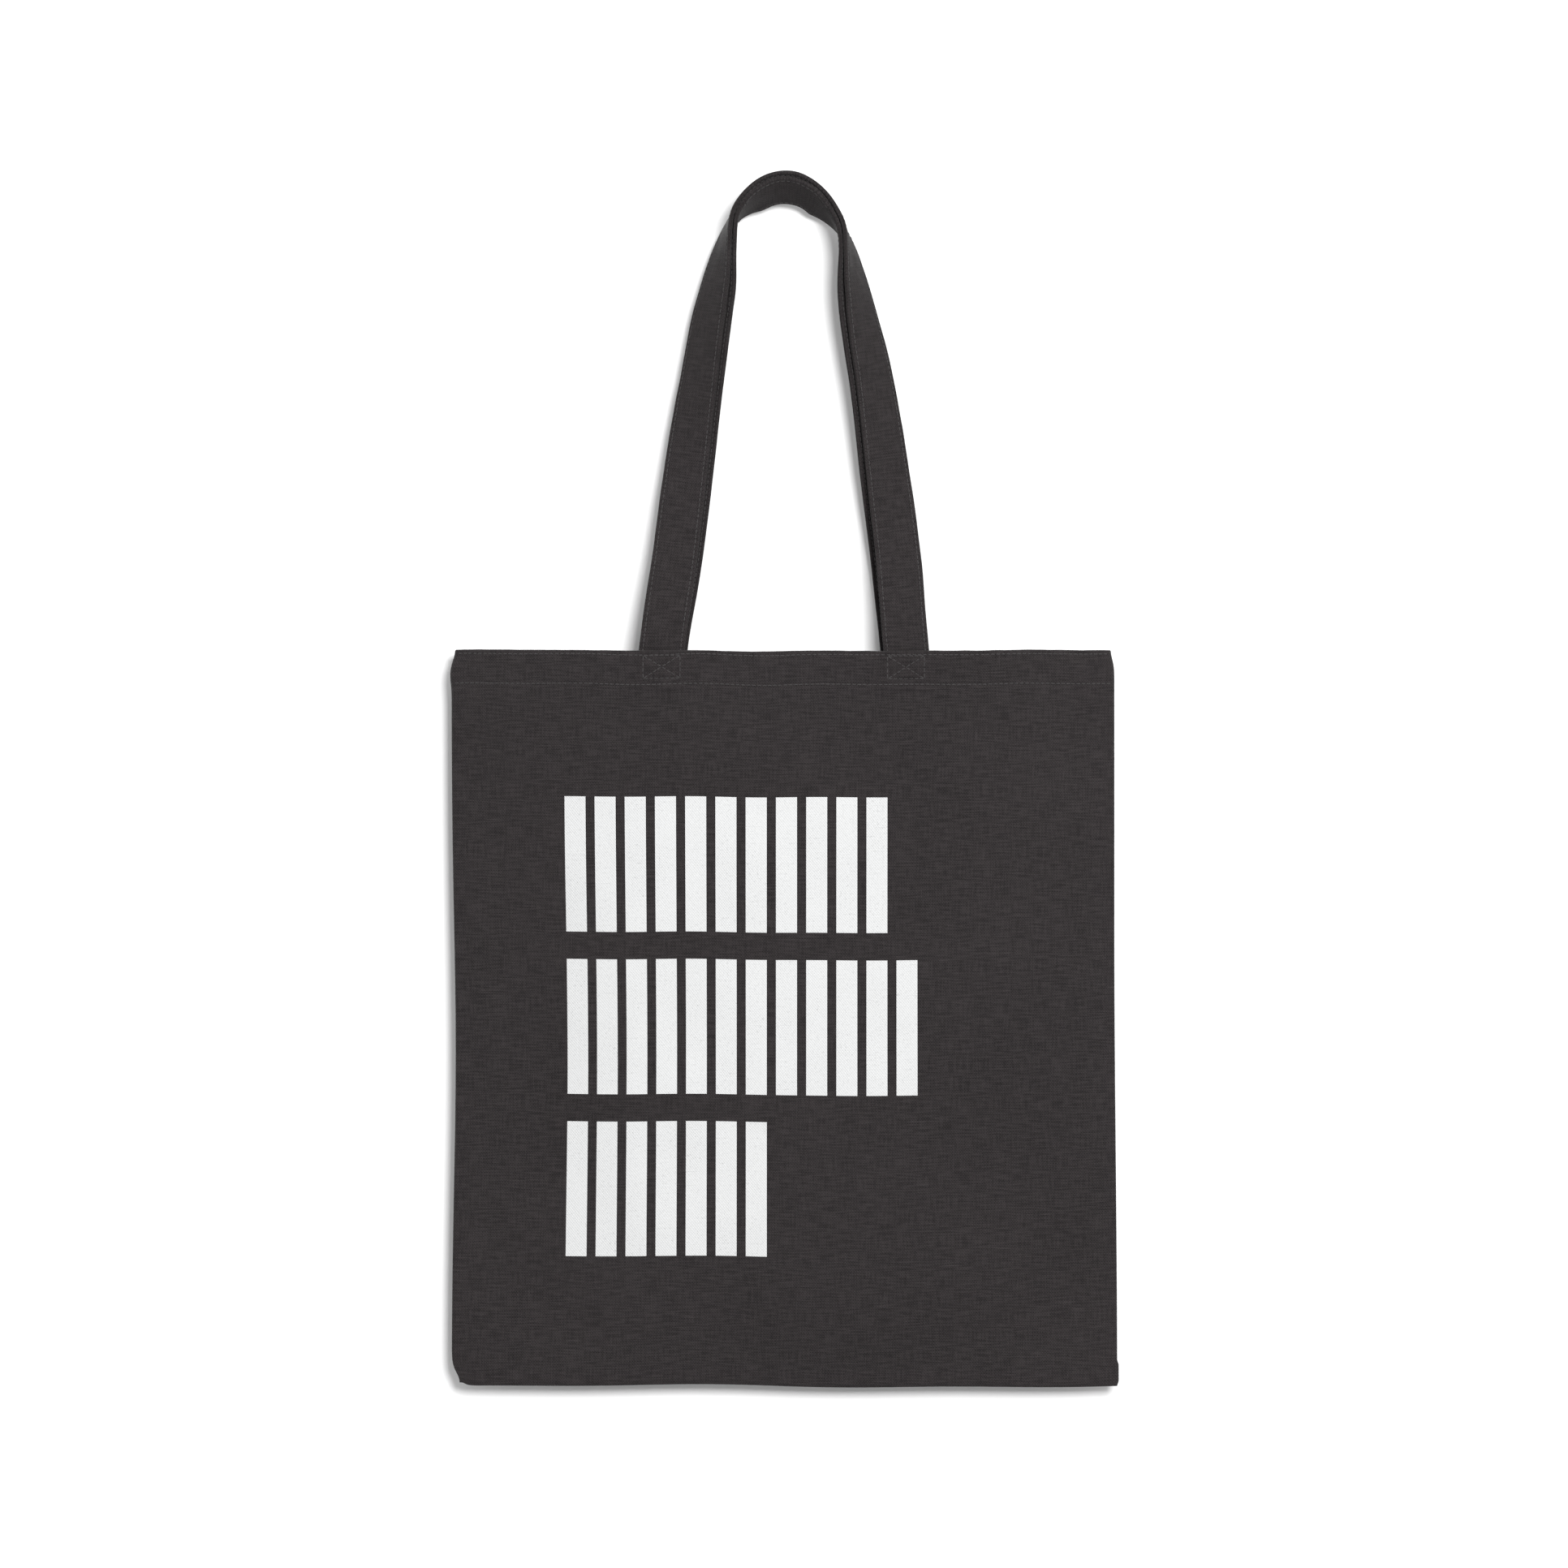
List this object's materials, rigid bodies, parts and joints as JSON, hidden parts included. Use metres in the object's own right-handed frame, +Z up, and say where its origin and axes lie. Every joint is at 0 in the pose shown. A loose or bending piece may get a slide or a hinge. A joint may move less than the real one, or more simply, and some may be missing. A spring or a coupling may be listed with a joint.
{
  "type": "tote bag",
  "caption": "Flat canvas tote bag with two long shoulder handles sewn inside a hemmed rim, and a plain bar print on its front.",
  "frame": {"origin": "the spot under the middle of the arch of the two handles where a hook carries the bag, on the middle plane between the panels", "axes": "+Z up, from the bag to the hook; +X across the bag, to the right as seen from the print's side; +Y from the front panel to the back panel"},
  "size_m": [0.38, 0.0362, 0.6938],
  "materials": {
    "canvas": "plain-weave cotton canvas, matt, charcoal",
    "strap_canvas": "the same canvas folded into a flat strap, matt",
    "thread": "spun polyester sewing thread, charcoal, a little lighter than the cloth",
    "print_ink": "matt white screen-print ink, worn thin over the weave"
  },
  "bodies": {
    "bag": {"front_panel": "canvas", "back_panel": "canvas", "front_left_handle_end": "strap_canvas", "front_right_handle_end": "strap_canvas", "back_left_handle_end": "strap_canvas", "back_right_handle_end": "strap_canvas", "front_hem_stitching": "thread", "back_hem_stitching": "thread", "front_rim_stitching": "thread", "back_rim_stitching": "thread", "front_left_box_stitching": "thread", "front_right_box_stitching": "thread", "back_left_box_stitching": "thread", "back_right_box_stitching": "thread", "left_seam_stitching": "thread", "right_seam_stitching": "thread", "bottom_seam_stitching": "thread", "left_overlock_thread": "thread", "right_overlock_thread": "thread", "bottom_overlock_thread": "thread", "front_print": "print_ink"},
    "front_handle": {"front_handle_strap": "strap_canvas", "front_handle_inner_stitching": "thread", "front_handle_outer_stitching": "thread"},
    "back_handle": {"back_handle_strap": "strap_canvas", "back_handle_inner_stitching": "thread", "back_handle_outer_stitching": "thread"}
  },
  "joints": [
    {"name": "front_handle_fold", "type": "hinge", "parent": "bag", "child": "front_handle", "pos_m": [0, -0.0169, -0.26109], "axis": [1, 0, 0], "range_deg": [0, 178]},
    {"name": "back_handle_fold", "type": "hinge", "parent": "bag", "child": "back_handle", "pos_m": [0, 0.0169, -0.26109], "axis": [-1, 0, 0], "range_deg": [0, 178]}
  ]
}
